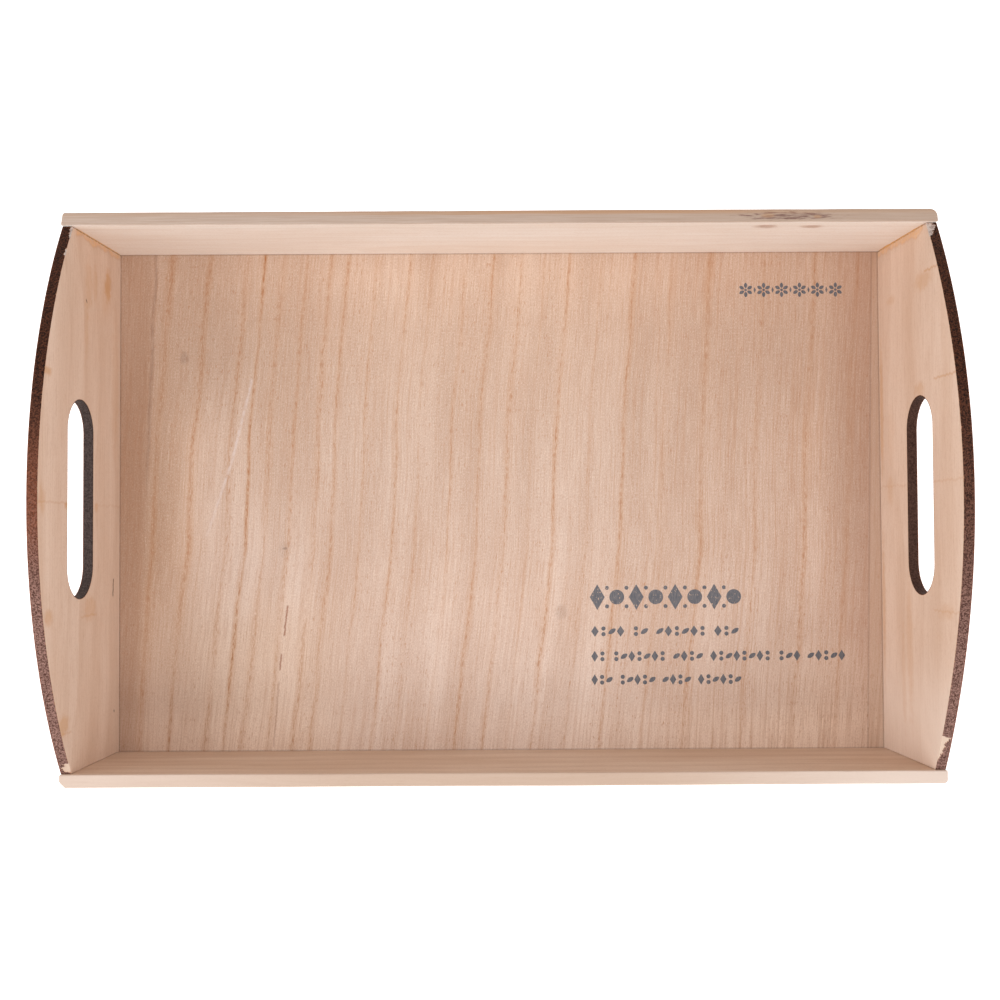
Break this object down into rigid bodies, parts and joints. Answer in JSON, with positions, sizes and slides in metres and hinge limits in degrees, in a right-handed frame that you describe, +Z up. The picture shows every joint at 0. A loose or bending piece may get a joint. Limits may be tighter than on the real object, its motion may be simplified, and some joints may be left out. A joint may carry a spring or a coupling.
{
  "type": "serving tray",
  "caption": "Rectangular wooden serving tray: veneered floor, straight side rails and arched, outward-leaning end panels, each with a long round-ended hand slot.",
  "frame": {"origin": "centre of the underside", "axes": "+X along the length towards the right end panel, +Y across the width towards the back rail, +Z up"},
  "size_m": [0.4014, 0.26, 0.0998],
  "materials": {
    "floor_veneer": "bare sanded veneer, fine open pores, grain along the short side, pale grey printed ornament",
    "rail_wood": "bare pale solid wood, straight grain along the rail, eased edges",
    "end_wood": "bare laser-cut board with dark scorched edges, grain across the panel",
    "brad_steel": "bright drawn wire"
  },
  "bodies": {
    "root": {"base_panel": "floor_veneer", "front_rail": "rail_wood", "back_rail": "rail_wood", "left_end_panel": "end_wood", "right_end_panel": "end_wood", "front_left_corner_brads": "brad_steel", "front_right_corner_brads": "brad_steel", "back_left_corner_brads": "brad_steel", "back_right_corner_brads": "brad_steel", "front_base_brads": "brad_steel", "back_base_brads": "brad_steel", "left_base_brads": "brad_steel", "right_base_brads": "brad_steel"}
  },
  "joints": []
}
